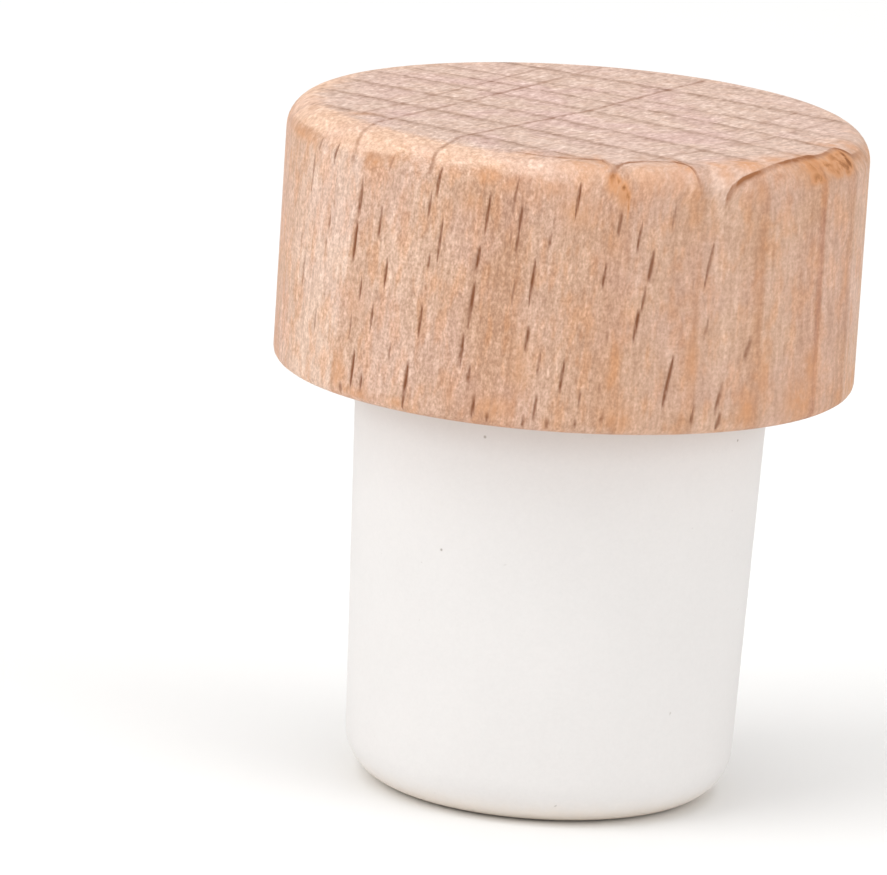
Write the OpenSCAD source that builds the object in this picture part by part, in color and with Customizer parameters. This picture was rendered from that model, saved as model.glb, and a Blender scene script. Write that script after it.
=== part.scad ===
// Bottle stopper: a turned wooden cap glued on a tapered, moulded plug.
// The stopper stands on the flat end of its plug, and its axis is Z.
// All sizes are in millimetres.

/* [Cap] */
// Diameter of the wooden cap
cap_d = 27.7; // [25:0.1:34]
// Height of the wooden cap
cap_h = 12.5; // [9:0.1:20]
// Radius of the rounding round the cap's top edge
top_round = 1.4; // [0.4:0.1:2.5]
// Radius of the rounding round the cap's lower edge
foot_round = 0.5; // [0.2:0.1:1.2]
// Colour of the wood
cap_colour = "#dcb18f"; // ["#dcb18f":Beech, "#c9a06a":Oak, "#7a5236":Walnut]

/* [Plug] */
// Diameter of the plug where it comes out of the cap
plug_root_d = 19.8; // [17:0.1:21.5]
// Diameter of the plug at its end, taken as if the end were not rounded
plug_end_d = 18.5; // [15:0.1:21]
// Length of the plug below the cap
plug_len = 20.2; // [12:0.1:30]
// Radius of the rounding round the plug's end
end_round = 2.4; // [0.5:0.1:4]
// Colour of the plug
plug_colour = "#eeebe7"; // ["#eeebe7":Off-white, "#cfa878":Cork, "#3a3a3a":Black]

/* [Glued seat] */
// Depth of the recess in the cap that the plug's head fills
recess_depth = 5; // [3:0.1:6.5]
// Room for glue round the plug's head, on the radius
glue_gap = 0.1; // [0.05:0.01:0.25]
// Chamfer on the hidden top edge of the plug's head
head_chamfer = 0.6; // [0.2:0.1:1.5]

/* [Hidden] */
$fn = 128;

// Half the angle of the plug's taper
draft = atan((plug_root_d - plug_end_d) / 2 / plug_len);
// The circle that rounds the plug's end touches both the end and the tapered side
end_arc_x = plug_end_d / 2 - end_round * tan(45 - draft / 2);
// Where that circle meets the tapered side
side_start = [end_arc_x + end_round * cos(draft), end_round * (1 - sin(draft))];
// The cap sits on the root of the plug, so its underside is at this height
seat_z = plug_len;
// The plug's head fills the recess to its floor
head_top_z = seat_z + recess_depth;

// The waste outside a rounded corner: the corner is at the origin, and the part lies towards +X and +Y
module corner_waste(radius) {
    spare = 1;
    difference() {
        translate([-spare, -spare]) square(radius + spare);
        translate([radius, radius]) circle(radius);
    }
}

// Half section of the cap as it comes off the lathe, standing on its underside
module cap_section() {
    difference() {
        square([cap_d / 2, cap_h]);
        translate([cap_d / 2, cap_h]) rotate(180) corner_waste(top_round);
        translate([cap_d / 2, 0]) rotate(90) corner_waste(foot_round);
    }
}

// Half section of the recess, which is bored from the cap's underside
module recess_section() {
    translate([0, -1]) square([plug_root_d / 2 + glue_gap, recess_depth + 1]);
}

module wooden_cap() {
    color(cap_colour)
        translate([0, 0, seat_z])
            rotate_extrude()
                difference() {
                    cap_section();
                    recess_section();
                }
}

// Half section of the plug: a rounded end, a tapered side and a straight head with a chamfer
module plug_section() {
    union() {
        polygon([
            [0, 0],
            [end_arc_x, 0],
            side_start,
            [plug_root_d / 2, seat_z],
            [plug_root_d / 2, head_top_z - head_chamfer],
            [plug_root_d / 2 - head_chamfer, head_top_z],
            [0, head_top_z]
        ]);
        translate([end_arc_x, end_round]) circle(end_round);
    }
}

module plug() {
    color(plug_colour)
        rotate_extrude() plug_section();
}

wooden_cap();
plug();
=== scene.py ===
"""A bottle stopper: a turned beech cap, glued on a moulded plug that stands on its rounded end.

Every length in this file is in millimetres unless its name or its property says otherwise, and meshes
are turned into metres when they are made. Azimuths are in degrees round the axis: 0 faces the camera
and positive angles go towards the right.
"""

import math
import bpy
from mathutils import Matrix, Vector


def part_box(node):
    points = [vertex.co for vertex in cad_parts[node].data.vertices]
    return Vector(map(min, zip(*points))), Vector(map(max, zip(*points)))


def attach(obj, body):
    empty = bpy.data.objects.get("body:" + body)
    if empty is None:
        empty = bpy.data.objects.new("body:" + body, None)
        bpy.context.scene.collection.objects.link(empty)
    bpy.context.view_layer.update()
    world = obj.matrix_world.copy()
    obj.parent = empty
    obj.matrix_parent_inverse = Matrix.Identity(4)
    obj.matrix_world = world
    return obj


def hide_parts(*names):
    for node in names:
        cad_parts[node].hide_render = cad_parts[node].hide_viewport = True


bl_info = {
    "name": "Wooden-capped bottle stopper",
    "version": (1, 0, 0),
    "blender": (4, 5, 0),
    "location": "View3D > Sidebar > Stopper",
    "description": "Makes the beech cap, the moulded plug and the studio of a bottle stopper",
    "category": "Object",
}

import bpy
import numpy as np
from mathutils import Color, Matrix, Vector

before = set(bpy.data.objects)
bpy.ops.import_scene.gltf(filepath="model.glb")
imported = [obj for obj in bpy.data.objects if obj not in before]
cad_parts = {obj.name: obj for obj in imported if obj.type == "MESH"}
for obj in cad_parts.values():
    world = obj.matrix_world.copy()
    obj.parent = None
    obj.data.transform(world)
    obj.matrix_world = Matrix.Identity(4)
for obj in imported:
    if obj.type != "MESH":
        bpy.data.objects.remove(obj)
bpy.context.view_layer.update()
CAP_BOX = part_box("wooden_cap")
PLUG_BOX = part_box("plug")

MM = 0.001

# How many columns of points each skin has round the axis, the least angle of a sharp edge, and the seeds of
# what is strewn at random
CAP_COLUMNS = 1680
PLUG_COLUMNS = 480
SHARP_ANGLE = math.radians(55)
CAP_SEED = 11
PLUG_SEED = 5

# How the camera stood: it looks down by the first angle, and is turned, tipped and rolled, all in degrees
CAMERA_DOWN = 12.31
CAMERA_TURN = -0.704
CAMERA_TIP = 0.458
CAMERA_ROLL = -3.83

# The blank was cut with its rays nearly facing the front left
RING_DIRECTION = math.radians(-29)
TANGENT_AZIMUTH = -36.0
FIBRE_LEAN = math.radians(5)
RING_LEAN = 0.027

# How far the rings curve on the top, and how far and over which way they shift where the rounding cuts them
RING_CURVE = 0.003
RING_SHIFT = 1.05
RING_SHIFT_WAY = 2.2

# Growth rings on the top, from the front of the cap to its back: where each ends, and how dark its end is
RINGS = (
    (-8.7, 0.95),
    (-5.25, 0.90),
    (-2.15, 0.85),
    (0.95, 0.80),
    (3.4, 0.85),
    (5.35, 0.65),
    (8.6, 0.95),
    (11.6, 0.40),
)
RING_REACH = 15.0

# How dark a year's wood is, from one ring's end to the next: share of the year and darkness
YEAR_DARKNESS = (
    (0.0, 1.0),
    (0.05, 0.55),
    (0.11, 0.0),
    (0.5, 0.0),
    (0.83, 0.2),
    (0.92, 0.6),
    (0.975, 1.0),
)

# Broad rays on the top: place, width, strength, how far each runs down the side, and from which place to
# which across the rings
TOP_RAYS = (
    (-7.1, 0.26, 0.55, 0.5, -9.8, 9.0),
    (-5.2, 0.28, 0.70, 1.3, -15.0, 11.0),
    (0.0, 0.28, 0.85, 1.5, -15.0, 15.0),
    (7.2, 0.26, 0.30, 0.5, 2.0, 9.0),
    (9.4, 0.26, 0.50, 0.4, -11.5, 8.5),
)

# How brown the side is from place to place: azimuth and tone, pale at 0, brown at 1 and darker past that
SIDE_TONES = (
    (-84, 0.55),
    (-74, 0.52),
    (-67, 0.28),
    (-60, 0.02),
    (-49.0, 0.00),
    (-48.2, 0.66),
    (-44, 0.58),
    (-38, 0.46),
    (-33, 0.50),
    (-27, 0.62),
    (-20, 0.82),
    (-16, 1.00),
    (-10, 1.05),
    (-8, 0.72),
    (-5, 0.66),
    (2, 0.76),
    (6.5, 0.95),
    (7.3, 1.20),
    (8.3, 0.98),
    (10.5, 1.25),
    (11.5, 0.76),
    (18, 0.68),
    (23, 0.90),
    (25.6, 1.12),
    (26.6, 0.70),
    (33, 0.62),
    (38, 0.95),
    (40.4, 1.35),
    (41.4, 0.68),
    (47, 0.62),
    (53, 1.00),
    (56, 1.20),
    (57.9, 2.00),
    (58.9, 0.78),
    (65, 0.80),
    (69, 1.08),
    (71, 1.35),
    (73, 0.55),
    (84, 0.40),
)

# How far those bands lean with the height: azimuth, and degrees for each millimetre
BAND_LEANS = (
    (-45, 0.58),
    (-8, 0.0),
    (8, 0.12),
    (25, -0.06),
    (60, -0.10),
)

# Where the pale rubbed band of the rim ends: azimuth, way past the flat's edge, and how dark its line is
RIM_BORDER = (
    (-84, 1.40, 0.10),
    (-62, 1.38, 0.30),
    (-58, 1.55, 0.05),
    (-47, 1.60, 0.00),
    (-44, 1.45, 0.45),
    (-39, 1.40, 0.30),
    (-37, 1.08, 0.10),
    (-31, 1.12, 0.10),
    (-26, 1.30, 0.05),
    (-20, 1.05, 0.15),
    (-15, 1.20, 0.15),
    (-6, 1.20, 0.05),
    (0, 1.00, 0.05),
    (4, 0.85, 0.05),
    (6.0, 0.80, 0.05),
    (12, 0.55, 0.00),
    (20, 0.65, 0.00),
    (25, 1.20, 0.00),
    (28, 1.60, 0.00),
    (29.9, 2.30, 0.10),
    (30.6, 1.95, 1.10),
    (32, 1.52, 1.05),
    (35, 1.14, 1.10),
    (38, 0.93, 1.40),
    (42, 0.69, 0.95),
    (45, 0.48, 1.00),
    (50, 0.31, 1.25),
    (55, 0.23, 1.35),
    (58.3, 0.24, 1.45),
    (59.4, 0.36, 0.80),
    (63, 0.40, 0.70),
    (68, 0.27, 0.65),
    (70.5, 0.32, 1.10),
    (71.5, 0.60, 1.10),
    (73, 1.10, 0.60),
    (84, 1.30, 0.10),
)

# Where that band begins: azimuth, way past the flat's edge, how pale the band is, and how dark its line is
RIM_START = (
    (-84, -0.50, 0.90, 0.00),
    (-70, -0.80, 0.95, 0.00),
    (-58, -1.30, 1.00, 0.00),
    (-45, -1.60, 1.00, 0.00),
    (-17, -1.45, 0.90, 0.10),
    (-13, -1.35, 0.90, 0.50),
    (-9, -1.15, 0.75, 0.60),
    (-4, -1.05, 0.60, 0.70),
    (3, -1.15, 0.45, 0.75),
    (5.8, -1.10, 0.40, 0.90),
    (6.5, -0.60, 0.40, 0.30),
    (7.0, 0.40, 0.40, 0.25),
    (7.5, 0.95, 0.40, 0.55),
    (8.3, 0.40, 0.40, 0.55),
    (10.2, -0.45, 0.40, 0.80),
    (12.2, -0.85, 0.35, 0.95),
    (16, -1.05, 0.30, 0.55),
    (21, -1.05, 0.30, 0.75),
    (23.2, -0.90, 0.30, 1.15),
    (24.3, -0.45, 0.30, 1.20),
    (24.7, 0.40, 0.30, 0.75),
    (25.2, 1.50, 0.30, 0.20),
    (26.4, 0.00, 0.35, 0.00),
    (30, -0.90, 0.45, 0.00),
    (42, -0.60, 0.50, 0.00),
    (52, -0.40, 0.40, 0.00),
    (60, 0.10, 0.25, 0.00),
    (84, 0.70, 0.30, 0.00),
)

# How far the band's end spreads out, compared with a crisp one: azimuth and times
RIM_SOFTNESS = (
    (-84, 1.5),
    (-6, 1.5),
    (4, 4.0),
    (28, 4.0),
    (30, 1.0),
    (46, 1.0),
    (51, 1.5),
    (58, 1.5),
    (60, 1.0),
    (71, 1.0),
    (84, 2.5),
)

# Ends of rays that show on the side: azimuth, height above the cap's foot, length, width and strength
FLECKS = (
    (-27.1, 11.2, 1.3, 0.24, 1.0),
    (-28.7, 9.95, 1.0, 0.18, 0.85),
    (-26.0, 8.45, 2.0, 0.18, 0.95),
    (-28.1, 7.35, 0.6, 0.19, 0.95),
    (-28.5, 6.1, 0.5, 0.14, 0.55),
    (-29.2, 4.65, 1.6, 0.22, 1.0),
    (-31.7, 1.4, 2.3, 0.27, 1.0),
    (-35.8, 2.8, 0.7, 0.17, 0.65),
    (-40.1, 8.7, 1.5, 0.20, 0.95),
    (-37.9, 6.4, 1.3, 0.21, 1.0),
    (-44.2, 5.4, 0.9, 0.19, 0.9),
    (-40.8, 4.2, 1.2, 0.21, 0.95),
    (-45.7, 9.6, 1.7, 0.31, 1.0),
    (-46.5, 7.6, 1.9, 0.28, 1.0),
    (-46.4, 3.5, 1.1, 0.18, 0.6),
    (-45.1, 1.65, 1.8, 0.24, 1.0),
    (-42.6, 1.0, 0.7, 0.19, 0.9),
    (-54.4, 11.4, 0.8, 0.28, 0.85),
    (-60.5, 11.5, 0.5, 0.25, 0.55),
    (-62.4, 10.1, 1.8, 0.24, 0.65),
    (-54.8, 8.2, 1.1, 0.22, 0.6),
    (-55.7, 7.0, 0.9, 0.22, 0.5),
    (-64.0, 5.6, 1.9, 0.26, 0.45),
    (-58.0, 3.3, 1.1, 0.22, 0.65),
    (-55.0, 4.7, 0.7, 0.2, 0.4),
    (-48.3, 0.5, 0.4, 0.28, 1.0),
    (-38.5, 11.6, 0.7, 0.18, 0.45),
    (-16.5, 10.05, 1.6, 0.20, 1.0),
    (-17.8, 8.1, 0.9, 0.24, 1.0),
    (-18.1, 7.45, 0.4, 0.24, 1.0),
    (-18.65, 5.65, 2.2, 0.26, 1.0),
    (-20.1, 3.4, 1.5, 0.27, 1.0),
    (-18.3, 2.3, 0.7, 0.26, 1.0),
    (-17.0, 0.95, 1.1, 0.22, 1.0),
    (-11.3, 10.95, 1.6, 0.17, 0.75),
    (-10.0, 10.0, 1.0, 0.22, 0.9),
    (-10.4, 8.85, 1.1, 0.18, 0.85),
    (-11.7, 9.05, 0.8, 0.15, 0.45),
    (-10.5, 6.55, 1.0, 0.17, 0.6),
    (-7.0, 7.1, 2.0, 0.20, 1.0),
    (-7.25, 4.4, 1.3, 0.25, 1.0),
    (-4.1, 9.0, 0.7, 0.18, 0.85),
    (-3.5, 10.0, 0.7, 0.15, 0.4),
    (0.8, 11.1, 1.5, 0.21, 1.0),
    (-4.7, 3.3, 0.9, 0.20, 0.7),
    (-4.85, 1.25, 1.0, 0.20, 0.85),
    (-0.15, 2.7, 1.5, 0.20, 0.95),
    (3.5, 1.75, 0.6, 0.18, 0.65),
    (6.65, 7.55, 1.0, 0.19, 0.95),
    (9.0, 10.0, 1.1, 0.22, 0.8),
    (13.0, 9.45, 1.2, 0.19, 0.9),
    (15.65, 8.05, 1.6, 0.26, 0.9),
    (14.6, 6.55, 1.0, 0.19, 0.9),
    (13.55, 5.4, 1.5, 0.26, 1.0),
    (19.6, 10.35, 0.8, 0.16, 0.65),
    (20.6, 2.6, 2.5, 0.26, 0.95),
    (8.0, 4.8, 0.5, 0.17, 0.5),
    (7.2, 2.25, 0.6, 0.17, 0.5),
    (26.1, 0.9, 0.7, 0.22, 1.0),
    (27.6, 8.1, 2.2, 0.22, 0.8),
    (27.9, 5.1, 1.2, 0.19, 0.5),
    (37.7, 4.0, 1.1, 0.40, 0.65),
    (31.75, 1.8, 1.5, 0.28, 0.8),
    (31.9, 0.6, 0.7, 0.36, 0.8),
    (-14.1, 0.45, 0.3, 0.24, 0.85),
    (-7.0, 0.4, 0.25, 0.30, 1.0),
    (-2.4, 0.45, 0.4, 0.30, 0.65),
    (3.0, 0.6, 0.3, 0.24, 0.9),
    (8.0, 0.8, 0.5, 0.26, 0.6),
)

# Orange-brown patches: azimuth, way up from the cap's foot along its skin, half width in degrees, half
# height, and strength, which darkens the patch where it is over 0.9. The flat's edge lies 13.3 mm up.
STAINS = (
    (-43.0, 11.55, 2.4, 0.30, 1.0),
    (-38.3, 11.75, 1.2, 0.45, 0.8),
    (-26.0, 11.7, 3.0, 0.30, 0.3),
    (-17.0, 11.8, 2.6, 0.34, 1.0),
    (-11.5, 14.5, 3.0, 0.30, 0.8),
    (-12.5, 11.5, 2.0, 0.40, 0.6),
    (-3.0, 11.5, 6.0, 0.50, 0.4),
    (-1.5, 14.35, 6.5, 0.35, 0.85),
    (5.0, 14.35, 1.4, 0.40, 1.4),
    (1.5, 13.1, 5.0, 1.10, 0.75),
    (6.0, 12.9, 2.0, 0.90, 0.95),
    (12.5, 13.75, 1.6, 0.40, 1.0),
    (17.5, 12.90, 8.0, 1.10, 0.55),
    (7.4, 12.38, 0.90, 0.28, 2.0),
    (7.0, 12.10, 0.90, 0.22, 1.7),
    (8.2, 11.65, 1.60, 0.28, 1.2),
    (8.4, 12.08, 0.90, 0.28, 1.8),
    (9.4, 11.76, 0.85, 0.28, 1.8),
    (10.2, 11.40, 0.60, 0.34, 1.8),
    (10.4, 10.85, 0.24, 0.55, 1.6),
    (7.6, 11.8, 1.8, 0.45, 1.1),
    (9.4, 11.3, 1.6, 0.60, 1.0),
    (18.0, 14.1, 5.0, 0.40, 0.75),
    (23.4, 14.05, 1.1, 0.50, 1.7),
    (23.4, 13.3, 1.8, 0.90, 1.1),
    (22.3, 13.2, 1.7, 0.60, 0.7),
    (24.3, 12.6, 0.5, 0.70, 0.7),
    (24.5, 11.3, 1.6, 0.80, 0.5),
    (35.4, 13.9, 0.9, 0.35, 0.9),
    (39.0, 13.15, 4.0, 0.75, 1.15),
    (39.3, 13.55, 2.0, 0.20, 1.8),
    (47.5, 13.35, 5.0, 0.35, 0.85),
    (31.5, 13.2, 2.8, 0.60, 0.75),
    (38.5, 11.4, 2.0, 0.60, 0.6),
    (46.0, 10.1, 1.5, 0.30, 0.4),
    (49.0, 12.2, 6.0, 0.50, 0.4),
    (51.5, 11.5, 1.0, 0.30, 0.5),
    (55.5, 11.65, 3.2, 0.28, 1.9),
    (47.0, 12.70, 6.0, 0.25, 0.7),
    (55.5, 12.4, 4.0, 0.90, 1.40),
    (60.5, 12.2, 3.5, 0.55, 1.55),
    (63.5, 11.70, 5.0, 0.28, 1.5),
    (65.5, 12.5, 5.5, 0.40, 1.60),
    (66.5, 12.1, 5.0, 0.45, 1.75),
    (72.0, 13.4, 2.2, 0.60, 0.95),
    (77.0, 12.5, 3.5, 0.90, 0.8),
    (69.4, 12.2, 1.4, 0.65, 2.4),
    (67.5, 11.70, 3.0, 0.32, 1.8),
    (76.0, 12.0, 4.0, 0.25, 0.7),
    (-74.5, 13.95, 2.5, 0.15, 0.9),
    (-70.0, 14.6, 2.5, 0.25, 0.6),
    (-70.0, 11.60, 7.5, 0.30, 0.85),
    (-60.5, 11.0, 2.0, 0.50, 0.4),
    (-49.3, 1.2, 1.6, 0.80, 0.9),
    (-44.0, 0.45, 5.0, 0.35, 0.8),
    (-34.0, 0.45, 4.0, 0.30, 0.6),
    (-46.0, 4.6, 2.8, 0.90, 0.4),
    (-22.0, 1.2, 1.4, 0.50, 0.45),
    (-20.5, 10.6, 1.6, 0.70, 0.6),
    (0.5, 10.6, 3.5, 0.80, 0.65),
    (-8.0, 3.0, 2.0, 1.60, 0.5),
    (42.5, 2.5, 1.5, 1.50, 0.5),
    (31.5, 12.4, 2.0, 0.70, 0.6),
    (-13.0, 0.9, 4.2, 0.70, 0.7),
    (-2.5, 0.4, 1.3, 0.35, 0.6),
    (11.5, 0.9, 3.0, 0.70, 0.7),
    (9.5, 3.0, 1.6, 1.50, 0.5),
    (8.5, 9.0, 1.5, 0.50, 0.4),
    (25.3, 3.6, 1.2, 2.40, 0.5),
    (38.6, 1.2, 2.3, 0.75, 0.85),
    (39.5, 7.0, 1.2, 3.00, 0.3),
    (56.5, 2.7, 3.0, 0.80, 0.75),
    (56.0, 7.8, 1.6, 0.60, 0.5),
    (53.0, 1.2, 4.5, 1.10, 0.85),
    (63.0, 2.3, 2.0, 0.30, 0.4),
    (69.0, 6.3, 1.6, 0.60, 0.5),
    (70.0, 0.7, 3.0, 0.40, 0.5),
)

# Dark grains in the plug's skin: azimuth, height and width
SPECKS = (
    (-20.4, 18.8, 0.15),
    (59.1, 18.5, 0.13),
    (-32.2, 13.0, 0.14),
)


def linear(code):
    """Scene-linear colour of a hexadecimal sRGB code."""
    parts = [int(code[i:i + 2], 16) / 255 for i in (1, 3, 5)]
    return tuple(c / 12.92 if c <= 0.04045 else ((c + 0.055) / 1.055) ** 2.4 for c in parts)


def length(name, description, metres):
    """A size property, in metres."""
    return bpy.props.FloatProperty(
        name=name, description=description, default=metres, min=0.0, unit="LENGTH", precision=5
    )


def colour(name, description, code):
    """A colour property with an sRGB default."""
    return bpy.props.FloatVectorProperty(
        name=name, description=description, default=linear(code), size=3, min=0.0, max=1.0, subtype="COLOR"
    )


def factor(name, description, value, high=2.0):
    """A property without a unit."""
    return bpy.props.FloatProperty(name=name, description=description, default=value, min=0.0, max=high)


class StopperCapSettings(bpy.types.PropertyGroup):
    """Sizes and colours of the turned cap."""

    diameter: length("Diameter", "Diameter of the cap", CAP_BOX[1].x - CAP_BOX[0].x)
    foot: length("Foot", "Height of the cap's underside above the table", CAP_BOX[0].z)
    top: length("Top", "Height of the cap's top above the table", CAP_BOX[1].z)
    top_round: length("Top rounding", "Radius of the rounding round the top edge", 0.0014)
    foot_round: length("Foot rounding", "Radius of the rounding round the lower edge", 0.0005)
    recess_diameter: length("Recess", "Diameter of the recess that the plug's head is glued in", 0.0200)
    fleck_depth: length("Fleck depth", "How deep the open ends of the rays are", 0.00004)
    pale_wood: colour("Pale side", "Side wood between the dark bands", "#e2c2ad")
    brown_wood: colour("Brown side", "Side wood in the dark bands", "#ca9f83")
    end_wood: colour("End grain", "End grain on the flat top", "#dbbeae")
    rubbed_wood: colour("Rubbed edge", "Wood of the rounded edge, rubbed pale by the sandpaper", "#ebc4a9")
    late_wood: colour("Late wood", "Dark line at the end of each growth ring", "#a3806c")
    ray_wood: colour("Rays", "Rays on the top and the darkest stains", "#824a25")
    fleck_wood: colour("Flecks", "Ends of rays on the side", "#835033")
    line_wood: colour("Rim lines", "Dark lines where the rings come over the rounded edge", "#9d6642")
    stain_wood: colour("Stains", "Orange-brown patches along the edges", "#d99b6c")
    rosy_wood: colour("Rosy wood", "Pinker wood in broad patches", "#dbb8b0")


class StopperPlugSettings(bpy.types.PropertyGroup):
    """Sizes and colours of the moulded plug."""

    root_diameter: length("Root", "Diameter where the plug leaves the cap", PLUG_BOX[1].x - PLUG_BOX[0].x)
    end_diameter: length("End", "Diameter at the end, as if it were not rounded", 0.0185)
    seat: length("Seat", "Height at which the plug goes into the cap", CAP_BOX[0].z)
    head: length("Head", "Height of the top of the glued head", PLUG_BOX[1].z)
    end_round: length("End rounding", "Radius of the rounding round the end", 0.0024)
    head_chamfer: length("Head chamfer", "Chamfer on the head", 0.0006)
    waviness: length("Waviness", "How far the moulded skin dips in", 0.00005)
    skin: colour("Skin", "Matte skin of the plug", "#efecea")
    warm: colour("Warm edge", "Warmer tone of the rounded end", "#f3e6d8")
    # Painted shade: a greyer tone close under the cap, standing in for the cap's shadow on the plug
    root: colour("Root", "Greyer tone close under the cap", "#ded8d4")
    speck: colour("Specks", "Tiny grey specks in the skin", "#b9b2ab")


class StopperStageSettings(bpy.types.PropertyGroup):
    """Floor, camera and light."""

    floor_size: length("Floor", "Width of the floor", 4.0)
    floor_colour: colour("Floor", "Colour of the floor", "#fcfcfb")
    distance: length("Distance", "From the camera to the middle of the cap's underside", 0.4451)
    lens: bpy.props.FloatProperty(
        name="Lens",
        description="Focal length for a 36 mm wide sensor",
        default=379.2,
        min=1.0,
        unit="CAMERA",
    )
    sky: factor("Sky", "Brightness of the white surroundings", 0.41)
    overhead: factor("Overhead light", "Power of the soft box over the stopper, in watts", 7.4, 100.0)
    left: factor("Left light", "Power of the soft box on the front left, in watts", 3.6, 100.0)
    right: factor("Right light", "Power of the soft box on the front right, in watts", 2.15, 100.0)


def arc(centre, radius, start, end, steps):
    """Points on a circle: centre plus radius times (cos a, sin a), with a even from start to end."""
    angles = np.radians(np.linspace(start, end, steps + 1))
    return np.stack([centre[0] + radius * np.cos(angles), centre[1] + radius * np.sin(angles)], 1)


def run(start, end, steps):
    """Points that go evenly along a straight line."""
    return np.linspace(start, end, steps + 1)


def joined(*stretches):
    """The stretches of a profile one after the other, without the points that two of them share."""
    return np.vstack([stretches[0]] + [points[1:] for points in stretches[1:]])


def way_along(profile):
    """How far each point of a profile lies from its first one, along the profile."""
    steps = np.hypot(*np.diff(profile, axis=0).T)
    return np.concatenate([[0], np.cumsum(steps)])


def wrapped(angle):
    """The same angle between minus and plus half a turn, in radians."""
    return (angle + math.pi) % (2 * math.pi) - math.pi


def smooth_step(low, high, values):
    """0 below low and 1 above high, with 3t^2 - 2t^3 between them."""
    t = np.clip((values - low) / (high - low), 0, 1)
    return t * t * (3 - 2 * t)


def turned_grid(radius, height, azimuth):
    """Points of a turned surface: x = r sin a, y = -r cos a, z as given, for whole grids of r, z and a."""
    return np.stack([radius * np.sin(azimuth), -radius * np.cos(azimuth), height], -1)


def skin_mesh(name, points, first_pole, last_pole):
    """A closed mesh from a grid of points in millimetres: rows from pole to pole, columns round the axis.

    Each square of four neighbours is a face, and the last column joins the first. The first and the last
    row are closed with a fan of triangles to a pole of their own, so the skin has no hole.
    """
    rows, columns = points.shape[:2]
    co = np.vstack([points.reshape(-1, 3), first_pole, last_pole]) * MM
    row = np.arange(rows - 1)[:, None] * columns
    below = row + columns
    here = np.arange(columns)
    following = np.roll(here, -1)
    corners = np.broadcast_arrays(row + here, below + here, below + following, row + following)
    squares = np.stack(corners, -1).reshape(-1)
    first = rows * columns
    last_row = (rows - 1) * columns
    fan_start = np.stack([np.full(columns, first), here, following], -1).reshape(-1)
    fan_end = np.stack([np.full(columns, first + 1), last_row + following, last_row + here], -1).reshape(-1)
    corner_vertices = np.concatenate([squares, fan_start, fan_end]).astype(np.int32)
    sizes = np.concatenate([np.full(len(squares) // 4, 4), np.full(2 * columns, 3)])
    mesh = bpy.data.meshes.new(name)
    mesh.vertices.add(len(co))
    mesh.loops.add(len(corner_vertices))
    mesh.polygons.add(len(sizes))
    mesh.vertices.foreach_set("co", co.astype(np.float32).ravel())
    mesh.loops.foreach_set("vertex_index", corner_vertices)
    mesh.polygons.foreach_set("loop_start", np.concatenate([[0], np.cumsum(sizes)[:-1]]).astype(np.int32))
    mesh.update(calc_edges=True)
    mesh.validate()
    mesh.shade_smooth()
    mesh.set_sharp_from_angle(angle=SHARP_ANGLE)
    return mesh


def keep(mesh, name, grid, poles=(0, 0)):
    """Stores one or three numbers for every vertex of a skin, under the name that its material reads."""
    values = np.concatenate([np.ravel(grid), np.ravel(poles)]).astype(np.float32)
    kind, field = ("FLOAT", "value") if grid.ndim == 2 else ("FLOAT_VECTOR", "vector")
    mesh.attributes.new(name, kind, "POINT").data.foreach_set(field, values)


def dressed_piece(name, mesh, material, node):
    """Puts a finished mesh in the scene in place of its CAD node."""
    piece = bpy.data.objects.new(name, mesh)
    bpy.context.scene.collection.objects.link(piece)
    mesh.materials.append(material)
    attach(piece, "root")
    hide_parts(node)
    return piece


# The cap


def cap_profile(cap):
    """Half section of the cap in millimetres, from the middle of its top to the middle of its recess.

    It starts and ends a little off the axis, where the fans to the poles take over. Also gives how far each
    point lies past the flat's edge, along the section and negative on the flat, and the same measure for
    the start of the underside.
    """
    half = cap.diameter / 2 / MM
    top = cap.top / MM
    foot = cap.foot / MM
    soft = cap.top_round / MM
    low = cap.foot_round / MM
    bore = cap.recess_diameter / 2 / MM
    floor = PLUG_BOX[1].z / MM
    innermost = 1.6
    flat = run((innermost, top), (half - soft, top), 8)
    edge = arc((half - soft, top - soft), soft, 90, 0, 10)
    side = run((half, top - soft), (half, foot + low), 30)
    lip = arc((half - low, foot + low), low, 0, -90, 4)
    under = run((half - low, foot), (bore, foot), 3)
    wall = run((bore, foot), (bore, floor), 1)
    end = run((bore, floor), (bore / 4, floor), 1)
    profile = joined(flat, edge, side, lip, under, wall, end)
    way = way_along(profile)
    way = way - way[len(flat) - 1]
    underside = way[len(flat) + len(edge) + len(side) + len(lip) - 4]
    return profile, way, underside


def listed(azimuth, rows, column=1):
    """A column of a list whose rows begin with an azimuth in degrees, read evenly between the rows.

    Behind, it goes evenly from the last row to the first.
    """
    places = [row[0] for row in rows]
    values = [row[column] for row in rows]
    return np.interp(np.degrees(azimuth), places, values, period=360)


def fibre_slope(azimuth, ease):
    """How far the fibres go sideways on the turned side for each step up.

    They lean by a small angle in the plane that the rays face, so it is tan(lean) / c, where c is the
    cosine of the azimuth from the tangent face. Where that would have no limit, at the faces that the rays
    lie flat in, it is eased to zero: tan(lean) * c / (c^2 + ease).
    """
    c = np.cos(azimuth - math.radians(TANGENT_AZIMUTH))
    return math.tan(FIBRE_LEAN) * c / (c * c + ease)


def column_slope(azimuth):
    """The slope that the mesh's columns follow, which is eased enough that they never cross."""
    return 1.15 * fibre_slope(azimuth, 0.15)


def fibre_twist(azimuth, height, middle, half):
    """How far the fibres carry a point round the cap as they climb, in radians."""
    return (height - middle) * column_slope(azimuth) / half


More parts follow.
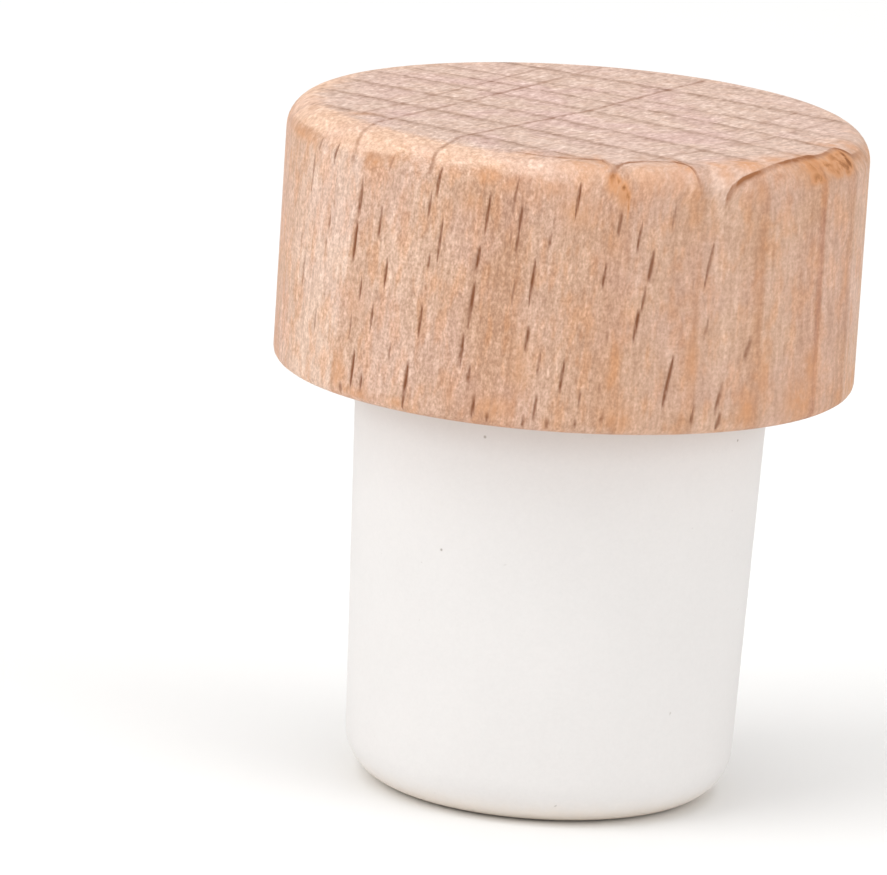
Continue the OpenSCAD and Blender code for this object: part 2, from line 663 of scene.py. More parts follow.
def grain_place(points, way, top):
    """Where each point lay in the tree: across its rays, across its growth rings and up its fibres.

    Along the rings, u = x cos a + y sin a, and across them, v = -x sin a + y cos a, for the rings'
    direction a. Rings are arcs that curve towards the front: v plus a slope times u plus a small share of u
    squared, and they shift, as cos(3 azimuth - 72 degrees), where the rounding cuts them. Rays run along v
    and close up towards the front. Both lean with the height.
    """
    x, y, z = np.moveaxis(points, -1, 0)
    u = x * math.cos(RING_DIRECTION) + y * math.sin(RING_DIRECTION)
    v = -x * math.sin(RING_DIRECTION) + y * math.cos(RING_DIRECTION)
    climb = z - top
    slope = 0.125 - 0.09 * smooth_step(-2, 8, v)
    azimuth = np.arctan2(x, -y)
    shift = RING_SHIFT * np.clip(way / RING_SHIFT_WAY, 0, 1) * np.cos(3 * azimuth - math.radians(72))
    ring = v + slope * u + RING_CURVE * u * u + shift + RING_LEAN * climb
    closing = np.clip(0.0137 * (u + 8), 0, 0.17) - 0.018 * np.maximum(0, u - 9)
    ray = u + closing * np.maximum(0, 1 - v) - 0.38 * np.maximum(0, -9.5 - v)
    ray = ray - math.tan(FIBRE_LEAN) * climb
    return np.stack([ray, ring, climb], -1)


def side_tone(azimuth, height, middle, ring):
    """How brown the side's wood is: pale at 0, brown at 1 and darker past that.

    In front it is the listed tone, read at the azimuth less the listed lean times the height over the
    middle. Behind, it grows with the cube of how far the wood is through its year. The two change over at
    78 to 92 degrees from the front.
    """
    lean = np.radians(listed(azimuth, BAND_LEANS))
    front = listed(azimuth - lean * (height - middle), SIDE_TONES)
    ends = np.array([-12.0, *(end for end, _ in RINGS), 14.6])
    year = np.interp(ring, ends, np.arange(len(ends)))
    back = 0.5 + 0.45 * (year % 1) ** 3
    away = smooth_step(78, 92, np.abs(np.degrees(wrapped(azimuth))))
    return front + (back - front) * away


def with_back(rows, column, middle, swing, draws):
    """One column of a listed front, with values round the middle one for the back."""
    front = [(row[0], row[column]) for row in rows]
    return front + [(place, middle + draws.uniform(-swing, swing)) for place in range(92, 270, 7)]


def past_line(azimuth, way, half, pairs):
    """How far each point lies past a line that is listed as azimuths and ways.

    It is the way less the listed way, over the root of 1 + slope^2, so it is measured at right angles to
    the line even where the line is steep. The slope is taken between 0.1 degrees before and after.
    """
    near = math.radians(0.1)
    slope = (listed(azimuth + near, pairs) - listed(azimuth - near, pairs)) / (2 * near * half)
    return (way - listed(azimuth, pairs)) / np.sqrt(1 + slope * slope)


def rim_place(azimuth, way, underside, half, draws):
    """How far each point lies past the start of the rubbed band and past its end, and how dark its end is.

    The second distance is divided by how soft the end is. Both turn back at the underside, which is end
    grain again.
    """
    start = past_line(azimuth, way, half, with_back(RIM_START, 1, -0.3, 0.5, draws))
    end = past_line(azimuth, way, half, with_back(RIM_BORDER, 1, 1.3, 0.3, draws))
    line = listed(azimuth, with_back(RIM_BORDER, 2, 0.1, 0.1, draws))
    past_start = np.minimum(start, underside + 0.5 - way)
    past_end = np.minimum(end, underside + 0.1 - way) / listed(azimuth, RIM_SOFTNESS)
    return np.stack([past_start, past_end, line], -1)


def scattered_flecks(draws):
    """More ends of rays: fine ones all round the front face, and a full set on the back one."""
    flecks = []
    for _ in range(60):
        place = draws.uniform(-75, 30)
        level = draws.uniform(0.4, 11.6)
        long = draws.uniform(0.2, 0.7)
        flecks.append((place, level, long, 0.14, draws.uniform(0.1, 0.4)))
    for _ in range(80):
        place = TANGENT_AZIMUTH + 180 + draws.triangular(-50, 0, 50)
        level = draws.uniform(0.4, 11.8)
        long = draws.uniform(0.5, 2.4)
        wide = draws.uniform(0.15, 0.27)
        flecks.append((place, level, long, wide, draws.uniform(0.35, 1.0)))
    return flecks


def fleck_mask(azimuth, height, half, flecks):
    """How much of a ray's end each point shows, from 0 to 1.

    Each fleck is a spindle: across it the mask falls as exp(-(d / body)^4), and along it the body, 0.4 of
    the width, shrinks to a hair at both ends as the root of 1 - t^2, with t from -1 to 1. Where the columns
    lean less than the fibres do, the fleck leans by the rest.
    """
    hair = 1e-6
    mask = np.zeros_like(height)
    for degrees, middle, long, wide, strength in flecks:
        place = math.radians(degrees)
        away = wrapped(azimuth - place)
        lean = fibre_slope(place, 0.01) - column_slope(place)
        t = (height - middle) / (long / 2)
        body = np.sqrt(np.maximum(0, 1 - t * t)) * wide * 0.4 + hair
        across = away * half - lean * (height - middle)
        mask = np.maximum(mask, strength * np.exp(-((across / body) ** 4)) * (np.abs(t) < 1))
    return mask


def stain_mask(azimuth, level, stains):
    """How deep the orange-brown patches are: for each, exp(-(a / half width)^2 - (h / half height)^2)."""
    mask = np.zeros_like(level)
    for place, middle, wide, high, strength in stains:
        away = np.degrees(wrapped(azimuth - math.radians(place)))
        mask = np.maximum(mask, strength * np.exp(-((away / wide) ** 2) - ((level - middle) / high) ** 2))
    return mask


def scattered_stains(draws):
    """Patches like the ones in front, along both edges of the back."""
    stains = []
    for _ in range(26):
        place = draws.uniform(80, 285)
        level = 11.5 if draws.random() < 0.6 else 1.0
        wide = draws.uniform(1.5, 5)
        high = draws.uniform(0.3, 0.8)
        stains.append((place, level, wide, high, draws.uniform(0.3, 0.9)))
    return stains


def cap_mesh(cap):
    """The cap: its half section turned round the axis, with every column leaning as the fibres do.

    A point is (r sin a, -r cos a, z), where a is the column's azimuth plus the twist of the fibres at that
    height. The ends of the rays are open, so there r is less by the fleck's depth.
    """
    profile, way, underside = cap_profile(cap)
    half = cap.diameter / 2 / MM
    foot = cap.foot / MM
    top = cap.top / MM
    middle = (foot + top) / 2
    column = np.linspace(-math.pi, math.pi, CAP_COLUMNS, endpoint=False)
    radius, column = np.broadcast_arrays(profile[:, :1], column[None])
    height = np.broadcast_to(profile[:, 1:], radius.shape)
    way = np.broadcast_to(way[:, None], radius.shape)
    azimuth = column + fibre_twist(column, height, middle, half)
    draws = np.random.default_rng(CAP_SEED)
    flecks = []
    for place, level, long, wide, strength in list(FLECKS) + scattered_flecks(draws):
        back = math.degrees(fibre_twist(math.radians(place), foot + level, middle, half))
        flecks.append((place - back, level, long, wide, strength))
    outside = radius > half - cap.foot_round / MM
    fleck = fleck_mask(column, height - foot, half, flecks) * outside
    way_up = cap.top_round / MM * (math.pi / 2 - 1) + top - foot - way
    stain = stain_mask(azimuth, way_up, list(STAINS) + scattered_stains(draws)) * (way_up > 0)
    points = turned_grid(radius - fleck * cap.fleck_depth / MM, height, azimuth)
    first_pole = np.array([0, 0, top])
    last_pole = np.array([0, 0, profile[-1, 1]])
    mesh = skin_mesh("wooden_cap_skin", points, first_pole, last_pole)
    grain = grain_place(turned_grid(radius, height, azimuth), way, top)
    ends = grain_place(np.array([first_pole, last_pole]), np.array([-12.0, 0.0]), top)
    keep(mesh, "grain", grain, ends)
    before_rim = [-12, -12, 0]
    keep(mesh, "rim", rim_place(azimuth, way, underside, half, draws), [before_rim, before_rim])
    keep(mesh, "pale", listed(azimuth, RIM_START, 2))
    keep(mesh, "start_line", listed(azimuth, RIM_START, 3))
    keep(mesh, "facing", np.cos(azimuth - math.radians(TANGENT_AZIMUTH)) ** 2)
    keep(mesh, "tone", side_tone(azimuth, height, middle, grain[..., 1]))
    keep(mesh, "fleck", fleck)
    keep(mesh, "stain", stain)
    return mesh


# The plug


def plug_profile(plug):
    """Half section of the plug in millimetres, from the middle of its head down to the middle of its end.

    The circle that rounds the end touches both the flat end and the tapered side. Also gives how far each
    point lies past the start of that circle, along the section and negative above it.
    """
    root = plug.root_diameter / 2 / MM
    end = plug.end_diameter / 2 / MM
    seat = plug.seat / MM
    head = plug.head / MM
    soft = plug.end_round / MM
    chamfer = plug.head_chamfer / MM
    draft = math.atan((root - end) / seat)
    centre = end - soft * math.tan(math.pi / 4 - draft / 2)
    innermost = 1.2
    crown = run((innermost, head), (root - chamfer, head), 2)
    bevel = run((root - chamfer, head), (root, head - chamfer), 1)
    neck = run((root, head - chamfer), (root, seat), 3)
    rounding = arc((centre, soft), soft, -math.degrees(draft), -90, 18)
    side = run((root, seat), rounding[0], 96)
    flat = run((centre, 0), (innermost, 0), 4)
    profile = joined(crown, bevel, neck, side, rounding, flat)
    way = way_along(profile)
    way = way - way[len(crown) + len(bevel) + len(neck) + len(side) - 4]
    return profile, way


def moulded_dips(azimuth, height, draws):
    """A faint unevenness of the moulded skin, from 0 to 1: a sum of slow waves round and along the plug."""
    total = np.zeros_like(height)
    for _ in range(14):
        around = draws.integers(1, 7)
        along = draws.uniform(0.1, 0.8)
        total = total + np.cos(around * azimuth + along * height + draws.uniform(0, 6.28)) / (around + 2)
    low, high = total.min(), total.max()
    return (total - low) / (high - low)


def plug_mesh(plug):
    """The plug: its half section turned round the axis.

    A point is (r sin a, -r cos a, z), with r less by the dips of the moulded skin. They fade out towards
    the seat and the end.
    """
    profile, way = plug_profile(plug)
    column = np.linspace(-math.pi, math.pi, PLUG_COLUMNS, endpoint=False)
    radius, azimuth = np.broadcast_arrays(profile[:, :1], column[None])
    height = np.broadcast_to(profile[:, 1:], radius.shape)
    seat = plug.seat / MM
    free = smooth_step(0, 3, seat - height) * smooth_step(0, 0.4, height)
    dips = moulded_dips(azimuth, height, np.random.default_rng(PLUG_SEED)) * free
    points = turned_grid(radius - dips * plug.waviness / MM, height, azimuth)
    mesh = skin_mesh("plug_skin", points, [0, 0, plug.head / MM], [0, 0, 0])
    keep(mesh, "end_way", np.broadcast_to(way[:, None], radius.shape), (way[0], way[-1]))
    return mesh


# Materials


class Nodes:
    """Adds nodes to a tree and returns their outputs."""

    def __init__(self, tree):
        self.tree = tree

    def feed(self, socket, value):
        """Links an output to a socket, or sets the socket's own value."""
        if isinstance(value, bpy.types.NodeSocket):
            self.tree.links.new(value, socket)
        else:
            socket.default_value = (*value, 1.0) if isinstance(value, Color) else value

    def add(self, kind, values, **settings):
        """A node with its settings, and with its inputs fed by name or number."""
        node = self.tree.nodes.new(kind)
        for name, setting in settings.items():
            setattr(node, name, setting)
        for name, value in values.items():
            self.feed(node.inputs[name], value)
        return node

    def math(self, operation, first, second=0.0):
        """One sum with two numbers."""
        return self.add("ShaderNodeMath", {0: first, 1: second}, operation=operation).outputs[0]

    def plus(self, first, second):
        """Two numbers added."""
        return self.math("ADD", first, second)

    def less(self, first, second):
        """The first number less the second."""
        return self.math("SUBTRACT", first, second)

    def times(self, *shares):
        """Numbers multiplied together."""
        product = shares[0]
        for share in shares[1:]:
            product = self.math("MULTIPLY", product, share)
        return product

    def swing(self, value, reach):
        """How far a value from 0 to 1 is over one half, times a reach."""
        return self.times(self.less(value, 0.5), reach)

    def stretch(self, vector, *scale):
        """A vector times three numbers."""
        return self.add("ShaderNodeVectorMath", {0: vector, 1: scale}, operation="MULTIPLY").outputs[0]

    def split(self, vector):
        """The three numbers of a vector."""
        return self.add("ShaderNodeSeparateXYZ", {0: vector}).outputs

    def remap(self, value, span, values=(0.0, 1.0)):
        """A value over a span, read smoothly as going from one value to another."""
        ranges = {0: value, 1: span[0], 2: span[1], 3: values[0], 4: values[1]}
        return self.add("ShaderNodeMapRange", ranges, interpolation_type="SMOOTHSTEP").outputs[0]

    def noise(self, vector, scale, detail=2.0, roughness=0.6):
        """Noise between 0 and 1."""
        values = {"Vector": vector, "Scale": scale, "Detail": detail, "Roughness": roughness}
        return self.add("ShaderNodeTexNoise", values).outputs[0]

    def patches(self, vector, scale, detail, span, values):
        """Noise over a span, read as soft patches that go from one value to another."""
        return self.remap(self.noise(vector, scale, detail), span, values)

    def blend(self, amount, first, second, how="MIX"):
        """Two colours blended."""
        values = {0: amount, 6: first, 7: second}
        return self.add("ShaderNodeMix", values, data_type="RGBA", blend_type=how).outputs[2]

    def denser(self, colour, density):
        """A colour as seen through more or less wood: to the power of the density, so that it reddens."""
        return self.add("ShaderNodeGamma", {"Color": colour, "Gamma": density}).outputs[0]

    def ramp(self, value, stops):
        """Greys along a ramp, given as places and brightnesses."""
        node = self.add("ShaderNodeValToRGB", {0: value})
        elements = node.color_ramp.elements
        while len(elements) < len(stops):
            elements.new(1.0)
        for element, (place, grey) in zip(elements, stops):
            element.position = place
            element.color = (grey, grey, grey, 1)
        return node.outputs[0]

    def curve(self, value, knots):
        """A value read from straight lines between knots, which go from 0 to 1 both ways."""
        node = self.add("ShaderNodeFloatCurve", {"Value": value})
        points = node.mapping.curves[0].points
        points[0].location = knots[0]
        points[1].location = knots[-1]
        for knot in knots[1:-1]:
            points.new(*knot)
        for point in points:
            point.handle_type = "VECTOR"
        node.mapping.update()
        return node.outputs[0]

    def attribute(self, name, output="Fac"):
        """A value that the piece's mesh carries."""
        return self.add("ShaderNodeAttribute", {}, attribute_name=name).outputs[output]

    def group(self, tree, values):
        """An effect, with its inputs fed by name."""
        return self.add("ShaderNodeGroup", values, node_tree=tree).outputs

    def marks(self, tree, place, per_mm, contrast):
        """A speckle or a mottle of so many marks to the millimetre."""
        return self.group(tree, {"Place": place, "Marks per mm": per_mm, "Contrast": contrast})


def arrange(tree):
    """Lays the nodes out from right to left, by how many links lie between each one and the output."""
    depth = {node.name: 0 for node in tree.nodes}
    for _ in range(40):
        for link in tree.links:
            before, after = link.from_node.name, link.to_node.name
            depth[before] = max(depth[before], depth[after] + 1)
    filled = {}
    for node in tree.nodes:
        level = depth[node.name]
        node.location = (-260 * level, -190 * filled.get(level, 0))
        filled[level] = filled.get(level, 0) + 1


def new_group(name, inputs, outputs):
    """An empty shader group. Its inputs are numbers with a default, or vectors where that is None."""
    tree = bpy.data.node_groups.new(name, "ShaderNodeTree")
    for label, default in inputs.items():
        kind = "NodeSocketVector" if default is None else "NodeSocketFloat"
        socket = tree.interface.new_socket(label, in_out="INPUT", socket_type=kind)
        if default is not None:
            socket.default_value = default
    for label in outputs:
        tree.interface.new_socket(label, in_out="OUTPUT", socket_type="NodeSocketFloat")
    start = tree.nodes.new("NodeGroupInput")
    end = tree.nodes.new("NodeGroupOutput")
    return tree, Nodes(tree), start.outputs, end.inputs


def speckle_group(name):
    """Fine speckle, in the wood and in the plug's skin: two sizes of noise that lighten and darken."""
    inputs = {"Place": None, "Marks per mm": 5.0, "Contrast": 0.1}
    tree, n, given, out = new_group(name, inputs, ["Shade", "Height"])
    coarse = n.noise(given["Place"], given["Marks per mm"])
    fine = n.noise(given["Place"], n.times(given["Marks per mm"], 2.3), 1.0, 0.5)
    height = n.times(n.plus(coarse, fine), 0.5)
    n.feed(out["Shade"], n.plus(n.times(n.swing(height, given["Contrast"]), 6.0), 1.0))
    n.feed(out["Height"], height)
    arrange(tree)
    return tree


def mottle_group(name):
    """Soft broad changes of tone, as a number near 1 that a colour is multiplied by."""
    inputs = {"Place": None, "Marks per mm": 0.3, "Contrast": 0.05}
    tree, n, given, out = new_group(name, inputs, ["Shade"])
    patches = n.noise(given["Place"], given["Marks per mm"], 2.0, 0.5)
    n.feed(out["Shade"], n.plus(n.times(n.swing(patches, given["Contrast"]), 4.0), 1.0))
    arrange(tree)
    return tree


def ragged_edge_group(name):
    """What lies past a line on the skin, with an uneven outline: 1 beyond it and 0 before it."""
    inputs = {"Past": 0.0, "Place": None, "Start": 0.0, "Full": 0.5, "Raggedness": 0.3}
    tree, n, given, out = new_group(name, inputs, ["Mask"])
    uneven = n.swing(n.noise(given["Place"], 1.6, 4.0, 0.65), given["Raggedness"])
    n.feed(out["Mask"], n.remap(n.plus(given["Past"], uneven), (given["Start"], given["Full"])))
    arrange(tree)
    return tree


def shared_effects():
    """The effects that both materials use, each made the first time that it is asked for."""
    makers = {"fine_speckle": speckle_group, "soft_mottle": mottle_group, "ragged_edge": ragged_edge_group}
    return [bpy.data.node_groups.get(name) or make(name) for name, make in makers.items()]


def ray_line_group():
    """One thin ray on the end grain: 1 on its line, and 0 away from it and beyond both of its ends."""
    inputs = {
        "Across rays": 0.0,
        "Across rings": 0.0,
        "Climb": 0.0,
        "Line": 0.0,
        "Half width": 0.1,
        "Strength": 1.0,
        "Depth": 1.0,
        "From ring": -RING_REACH,
        "To ring": RING_REACH,
    }
    tree, n, given, out = new_group("ray_line", inputs, ["Mask"])
    away = n.math("ABSOLUTE", n.less(given["Across rays"], given["Line"]))
    line = n.remap(n.math("DIVIDE", away, given["Half width"]), (0.2, 1.5), (1.0, 0.0))
    reach = n.remap(n.math("DIVIDE", given["Climb"], given["Depth"]), (-1.2, -0.8))
    begun = n.remap(n.less(given["Across rings"], given["From ring"]), (-0.6, 0.6))
    going = n.remap(n.less(given["Across rings"], given["To ring"]), (-0.6, 0.6), (1.0, 0.0))
    n.feed(out["Mask"], n.times(line, reach, begun, going, given["Strength"]))
    arrange(tree)
    return tree


def round_speck_group():
    """A small round grain in the skin: 1 at its middle and 0 beyond its half width."""
    inputs = {"Place": None, "Middle": None, "Half width": 0.1}
    tree, n, given, out = new_group("round_speck", inputs, ["Mask"])
    ends = {0: given["Place"], 1: given["Middle"]}
    away = n.add("ShaderNodeVectorMath", ends, operation="DISTANCE").outputs["Value"]
    share = n.math("DIVIDE", away, given["Half width"])
    n.feed(out["Mask"], n.remap(share, (0.4, 1.4), (1.0, 0.0)))
    arrange(tree)
    return tree


def new_material(name):
    """A material with the maker of its nodes and the inputs of its shader."""
    material = bpy.data.materials.new(name)
    material.use_nodes = True
    tree = material.node_tree
    return material, Nodes(tree), tree.nodes["Principled BSDF"].inputs


def finish_surface(n, surface, colour, height, roughness, gloss, relief, depth, strength):
    """Sets a surface's colour, its roughness from low spots to high ones, its gloss and its relief."""
    n.feed(surface["Base Color"], colour)
    n.feed(surface["Roughness"], n.remap(height, (0.2, 0.8), roughness))
    surface["Specular IOR Level"].default_value = gloss
    bump = n.add("ShaderNodeBump", {"Height": relief, "Distance": depth * MM, "Strength": strength})
    n.feed(surface["Normal"], bump.outputs[0])
    arrange(n.tree)


# The beech's material


def ground_colour(n, cap, grain, past_end, rubbed, sided):
    """The wood before its marks: end grain on top, a rubbed edge, and a side that is browner in bands."""
    tone = n.attribute("tone")
    side = n.blend(tone, cap.pale_wood, cap.brown_wood)
    side = n.denser(side, n.remap(tone, (1.0, 2.0), (1.0, 1.45)))
    wood = n.blend(rubbed, cap.end_wood, cap.rubbed_wood)
    wood = n.blend(sided, wood, side)
    warm = n.patches(n.stretch(grain, 1, 1, 0.4), 1.3, 2.0, (0.45, 0.68), (0.0, 0.40))
    warm = n.times(warm, n.remap(past_end, (-0.6, 0.6), (0.25, 1.0)))
    wood = n.blend(warm, wood, cap.stain_wood)
    rosy = n.patches(grain, 0.22, 2.0, (0.42, 0.62), (0.0, 0.6))
    rosy = n.times(rosy, n.remap(past_end, (-3.0, -1.0), (1.0, 0.3)))
    return n.blend(rosy, wood, cap.rosy_wood)


def late_wood(n, ring):
    """The dark line that ends each year's wood, from 0 to 1, with each ring's own darkness.

    One curve turns the place across the rings into years, whose fraction is read from the ramp of one year.
    Another gives the darkness.
    """
    share = n.math("DIVIDE", n.plus(ring, RING_REACH), 2 * RING_REACH)
    ends = [(end + RING_REACH) / (2 * RING_REACH) for end, _ in RINGS]
    years = len(RINGS) + 1
    knots = [(0.0, 0.2), (0.15, 0.45), *((end, i + 1) for i, end in enumerate(ends)), (1.0, years - 0.4)]
    reading = n.curve(share, [(place, year / years) for place, year in knots])
    year = n.math("FRACT", n.times(reading, float(years)))
    darkness = n.curve(share, [(end, dark) for end, (_, dark) in zip(ends, RINGS)])
    return n.times(n.ramp(year, YEAR_DARKNESS), darkness)


def ring_mask(n, grain, ring, past_end, rubbed):
    """The growth rings, uneven and patchy, which fade on the rubbed edge and where the side begins."""
    uneven = n.swing(n.noise(n.stretch(grain, 1, 1, 0.2), 0.9, 3.0), 0.42)
    patchy = n.patches(n.stretch(grain, 0.6, 0.3, 0.2), 1.5, 3.0, (0.35, 0.62), (0.75, 1.25))
    fading = n.remap(past_end, (-0.6, 0.9), (1.0, 0.0))
    kept = n.less(1.0, n.times(rubbed, 0.8))
    return n.times(late_wood(n, n.plus(ring, uneven)), patchy, fading, kept, 0.65)


def ray_mask(n, grain, ray, ring, climb):
    """The broad rays that cross the top, a little wavy and broken."""
    group = ray_line_group()
    wavy = n.plus(ray, n.swing(n.noise(n.stretch(grain, 0.2, 1, 1), 0.5), 0.35))
    rays = 0.0
    for line, wide, strength, depth, first, last in TOP_RAYS:
        values = {"Across rays": wavy, "Across rings": ring, "Climb": climb, "Line": line}
        values.update({"Half width": wide / 2, "Strength": strength, "Depth": depth})
        values.update({"From ring": first, "To ring": last})
        rays = n.math("MAXIMUM", n.group(group, values)[0], rays)
    broken = n.patches(grain, 1.6, 2.0, (0.32, 0.6), (0.45, 1.15))
    return n.times(rays, broken, 0.55)


def beech_material(cap, speckle, mottle, ragged):
    """Sanded beech, read from where each point lay in the tree, with painted shade towards its foot."""
    material, n, surface = new_material("sanded_beech")
    grain = n.attribute("grain", "Vector")
    ray, ring, climb = n.split(grain)
    past_start, past_end, end_line = n.split(n.attribute("rim", "Vector"))
    edge = {"Past": past_start, "Place": grain, "Start": -0.3, "Full": 0.9, "Raggedness": 1.6}
    rubbed = n.times(n.group(ragged, edge)[0], n.attribute("pale"))
    edge = {"Past": past_end, "Place": grain, "Start": -0.12, "Full": 0.25, "Raggedness": 0.5}
    wood = ground_colour(n, cap, grain, past_end, rubbed, n.group(ragged, edge)[0])
    wood = n.blend(ring_mask(n, grain, ring, past_end, rubbed), wood, cap.late_wood)
    # Broad patches, fibres, the lathe's marks, speckle that is finest where the rays end in the face, and
    # painted shade at the foot
    onto_side = (-0.8, 0.2)
    fibre_contrast = n.remap(past_end, onto_side, (0.05, 0.16))
    face_contrast = n.remap(n.attribute("facing"), (0.0, 1.0), (0.18, 0.33))
    grain_contrast = n.remap(past_end, onto_side, (0.13, face_contrast))
    pore_contrast = n.remap(past_end, onto_side, (0.36, 0.0))
    broad = n.marks(mottle, n.stretch(grain, 1, 1, 0.3), 0.35, 0.05)[0]
    fibres = n.marks(mottle, n.stretch(grain, 1, 1, 0.12), 3.6, fibre_contrast)[0]
    turning = n.marks(mottle, n.stretch(grain, 0.8, 0.8, 6), 0.9, 0.05)[0]
    grains = n.marks(speckle, n.stretch(grain, 1, 1, 0.8), 3.6, grain_contrast)
    pores = n.marks(speckle, n.stretch(grain, 1, 0.45, 0.8), 2.2, pore_contrast)[0]
    # Painted shade: darker towards the foot's edge and over the underside, standing in for the shade under
    # the cap's lip
    foot = (cap.foot - cap.top) / MM
    painted_foot_shade = n.remap(climb, (foot, foot + 0.3), (0.84, 1.0))
    shade = n.times(broad, fibres, turning, grains["Shade"], pores, painted_foot_shade)
    # Half of the shade, the painted foot shade with it, darkens the wood by density, and half by brightness
    half_shade = n.times(n.less(shade, 1.0), 0.5)
    wood = n.denser(wood, n.less(1.0, half_shade))
    wood = n.blend(1.0, wood, n.plus(1.0, half_shade), "MULTIPLY")
    # Stains, rays, the dark lines where the rubbed band starts and ends, and flecks
    blotchy = n.patches(n.stretch(grain, 1, 1, 0.5), 2.2, 3.0, (0.25, 0.6), (0.35, 1.0))
    stains = n.times(n.attribute("stain"), blotchy)
    wood = n.blend(n.times(stains, 0.8), wood, cap.stain_wood)
    wood = n.blend(n.remap(stains, (0.9, 1.9), (0.0, 0.8)), wood, cap.ray_wood)
    wood = n.blend(ray_mask(n, grain, ray, ring, climb), wood, cap.ray_wood)
    faded = n.patches(grain, 1.1, 3.0, (0.33, 0.6), (0.55, 1.05))
    lines = (
        (past_start, (-0.30, -0.02), (0.02, 0.16), n.attribute("start_line")),
        (past_end, (-0.11, -0.02), (0.0, 0.34), end_line),
    )
    for past, rise, fall, darkness in lines:
        line = n.times(n.remap(past, rise), n.remap(past, fall, (1.0, 0.0)), darkness, faded)
        wood = n.blend(line, wood, cap.line_wood)
    streaky = n.patches(n.stretch(grain, 1, 1, 0.4), 3.5, 2.0, (0.25, 0.55), (0.5, 1.0))
    wood = n.blend(n.times(n.attribute("fleck"), streaky), wood, cap.fleck_wood)
    height = grains["Height"]
    relief = n.plus(n.times(height, 0.7), n.times(fibres, 0.3))
    finish_surface(
        n, surface, wood, height, roughness=(0.58, 0.76), gloss=0.2, relief=relief, depth=0.02, strength=0.6
    )
    return material


# The plug's material


def plug_material(plug, speckle, mottle, ragged):
    """Matte off-white skin, a little warmer round its end, with painted shade greying it under the cap, and
    with tiny specks.
    """
    material, n, surface = new_material("matte_plug_skin")
    place = n.stretch(n.add("ShaderNodeTexCoord", {}).outputs["Object"], 1 / MM, 1 / MM, 1 / MM)
    edge = {"Past": n.attribute("end_way"), "Place": place, "Start": 0.6, "Full": 3.2, "Raggedness": 0.8}
    skin = n.blend(n.group(ragged, edge)[0], plug.skin, plug.warm)
    seat = plug.seat / MM
    # Painted shade: the skin greys over the 2.6 mm under the cap, standing in for the cap's shadow
    painted_shade_under_cap = n.remap(n.less(seat, n.split(place)[2]), (0.0, 2.6), (1.0, 0.0))
    skin = n.blend(painted_shade_under_cap, skin, plug.root)
    broad = n.marks(mottle, place, 0.18, 0.012)[0]
    grains = n.marks(speckle, place, 3.0, 0.012)
    for shade in (broad, grains["Shade"]):
        skin = n.blend(1.0, skin, shade, "MULTIPLY")
    faint = n.remap(n.noise(place, 2.2, 1.0, 0.5), (0.80, 0.86), (0.0, 0.5))
    skin = n.blend(faint, skin, plug.speck)
    speck = round_speck_group()
    root = plug.root_diameter / 2 / MM
    narrowing = (plug.root_diameter - plug.end_diameter) / 2 / plug.seat
    for azimuth, height, wide in SPECKS:
        radius = root - narrowing * (seat - height)
        middle = turned_grid(radius, height, math.radians(azimuth))
        values = {"Place": place, "Middle": tuple(middle), "Half width": wide / 2}
        skin = n.blend(n.group(speck, values)[0], skin, plug.speck)
    height = grains["Height"]
    finish_surface(
        n, surface, skin, height, roughness=(0.6, 0.75), gloss=0.3, relief=height, depth=0.01, strength=0.5
    )
    return material


# The stage


def floor_object(stage):
    """A plain square floor under the plug's end."""
    half = stage.floor_size / 2
    corners = [(-half, -half, 0), (half, -half, 0), (half, half, 0), (-half, half, 0)]
    mesh = bpy.data.meshes.new("floor")
    mesh.from_pydata(corners, [], [(0, 1, 2, 3)])
    floor = bpy.data.objects.new("floor", mesh)
    bpy.context.scene.collection.objects.link(floor)
    material, n, surface = new_material("pale_floor")
    n.feed(surface["Base Color"], stage.floor_colour)
    n.feed(surface["Roughness"], 0.9)
    n.feed(surface["Specular IOR Level"], 0.0)
    mesh.materials.append(material)
    return floor


def soft_box(name, azimuth, elevation, distance, size, watts):
    """A square area light that faces the middle of the stopper, with its place in degrees and metres."""
    data = bpy.data.lights.new(name, "AREA")
    data.shape = "SQUARE"
    data.size = size
    data.energy = watts
    lamp = bpy.data.objects.new(name, data)
    a = math.radians(azimuth)
    e = math.radians(elevation)
    away = Vector((math.sin(a) * math.cos(e), -math.cos(a) * math.cos(e), math.sin(e)))
    lamp.location = away * distance + Vector((0, 0, CAP_BOX[1].z / 2))
    lamp.rotation_euler = away.to_track_quat("Z", "Y").to_euler()
    bpy.context.scene.collection.objects.link(lamp)
    return lamp


def photo_camera(stage):
    """The camera, which looks at the cap's underside from a little above.

    Its rotation, read from right to left, faces the stopper, then tips, turns and rolls a little.
    """
    down = math.radians(CAMERA_DOWN)
    back = Vector((0, -math.cos(down), math.sin(down)))
    right = Vector((1, 0, 0))
    facing = Matrix((right, back.cross(right), back))
    turn = Matrix.Rotation(math.radians(CAMERA_TURN), 3, "Y")
    tip = Matrix.Rotation(math.radians(CAMERA_TIP), 3, "X")
    roll = Matrix.Rotation(math.radians(CAMERA_ROLL), 3, "Z")
    turned = (roll @ turn @ tip @ facing).transposed()
    data = bpy.data.cameras.new("camera")
    data.sensor_fit = "HORIZONTAL"
    data.sensor_width = 36
    data.lens = stage.lens
    data.clip_start = 0.01
    camera = bpy.data.objects.new("camera", data)
    target = Vector((0, 0, CAP_BOX[0].z))
    camera.matrix_world = Matrix.Translation(target + back * stage.distance) @ turned.to_4x4()
    bpy.context.scene.collection.objects.link(camera)
    bpy.context.scene.camera = camera
    return camera


class STOPPER_OT_wooden_cap(bpy.types.Operator):
    """Make the turned beech cap"""

    bl_idname = "stopper.wooden_cap"
    bl_label = "Wooden cap"

    def execute(self, context):
        cap = context.scene.stopper_cap
        material = beech_material(cap, *shared_effects())
        dressed_piece("beech_cap", cap_mesh(cap), material, "wooden_cap")
        return {"FINISHED"}


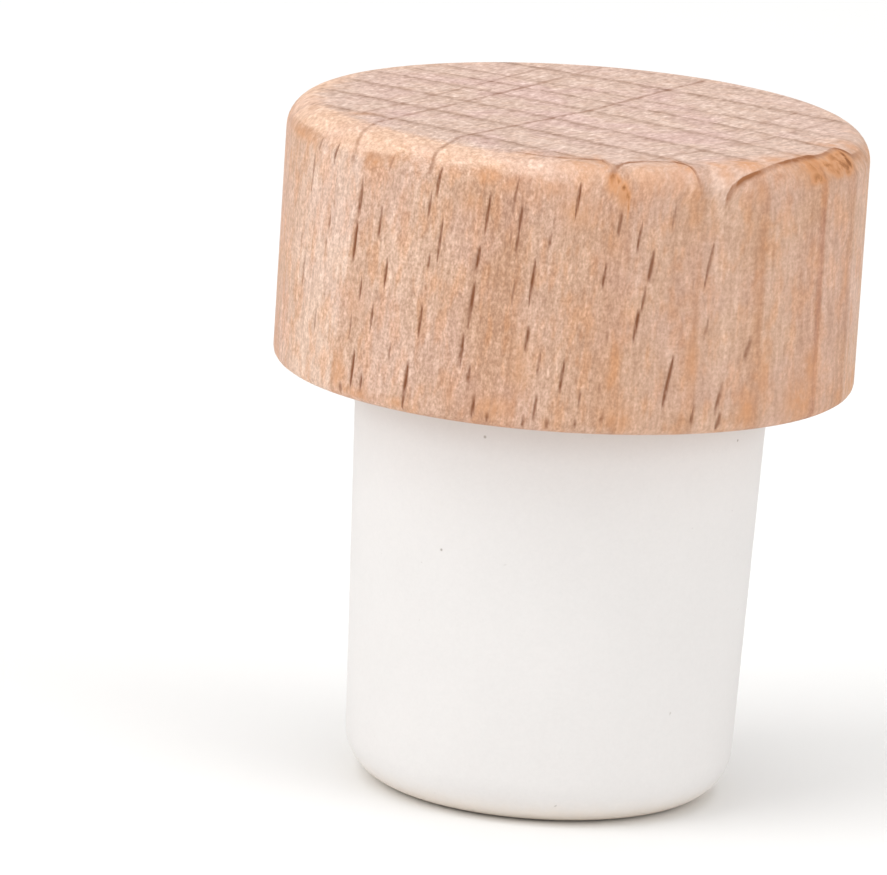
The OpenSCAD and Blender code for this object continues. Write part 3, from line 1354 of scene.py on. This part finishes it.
class STOPPER_OT_plug(bpy.types.Operator):
    """Make the moulded plug"""

    bl_idname = "stopper.plug"
    bl_label = "Plug"

    def execute(self, context):
        plug = context.scene.stopper_plug
        material = plug_material(plug, *shared_effects())
        dressed_piece("moulded_plug", plug_mesh(plug), material, "plug")
        return {"FINISHED"}


class STOPPER_OT_stage(bpy.types.Operator):
    """Make the floor, the lights and the camera"""

    bl_idname = "stopper.stage"
    bl_label = "Stage"

    def execute(self, context):
        stage = context.scene.stopper_stage
        floor_object(stage)
        photo_camera(stage)
        soft_box("overhead_light", azimuth=0, elevation=90, distance=1.2, size=1.2, watts=stage.overhead)
        soft_box("left_light", azimuth=-60, elevation=37, distance=0.9, size=0.7, watts=stage.left)
        soft_box("right_light", azimuth=60, elevation=30, distance=0.9, size=0.7, watts=stage.right)
        world = bpy.data.worlds.new("white_room")
        world.use_nodes = True
        sky = world.node_tree.nodes["Background"]
        sky.inputs["Color"].default_value = (1, 1, 1, 1)
        sky.inputs["Strength"].default_value = stage.sky
        context.scene.world = world
        context.scene.view_settings.view_transform = "Standard"
        return {"FINISHED"}


class STOPPER_PT_pieces(bpy.types.Panel):
    """Lists the pieces and their sizes and colours"""

    bl_idname = "STOPPER_PT_pieces"
    bl_label = "Bottle stopper"
    bl_space_type = "VIEW_3D"
    bl_region_type = "UI"
    bl_category = "Stopper"

    def draw(self, context):
        scene = context.scene
        groups = (
            ("stopper.wooden_cap", scene.stopper_cap),
            ("stopper.plug", scene.stopper_plug),
            ("stopper.stage", scene.stopper_stage),
        )
        for operator, settings in groups:
            box = self.layout.box()
            box.operator(operator)
            for name in settings.__annotations__:
                box.prop(settings, name)


CLASSES = (
    StopperCapSettings,
    StopperPlugSettings,
    StopperStageSettings,
    STOPPER_OT_wooden_cap,
    STOPPER_OT_plug,
    STOPPER_OT_stage,
    STOPPER_PT_pieces,
)


def register():
    for cls in CLASSES:
        bpy.utils.register_class(cls)
    bpy.types.Scene.stopper_cap = bpy.props.PointerProperty(type=StopperCapSettings)
    bpy.types.Scene.stopper_plug = bpy.props.PointerProperty(type=StopperPlugSettings)
    bpy.types.Scene.stopper_stage = bpy.props.PointerProperty(type=StopperStageSettings)


def unregister():
    del bpy.types.Scene.stopper_stage
    del bpy.types.Scene.stopper_plug
    del bpy.types.Scene.stopper_cap
    for cls in reversed(CLASSES):
        bpy.utils.unregister_class(cls)


def main():
    """Makes every piece and the stage."""
    register()
    bpy.ops.stopper.wooden_cap()
    bpy.ops.stopper.plug()
    bpy.ops.stopper.stage()


if __name__ == "__main__":
    main()
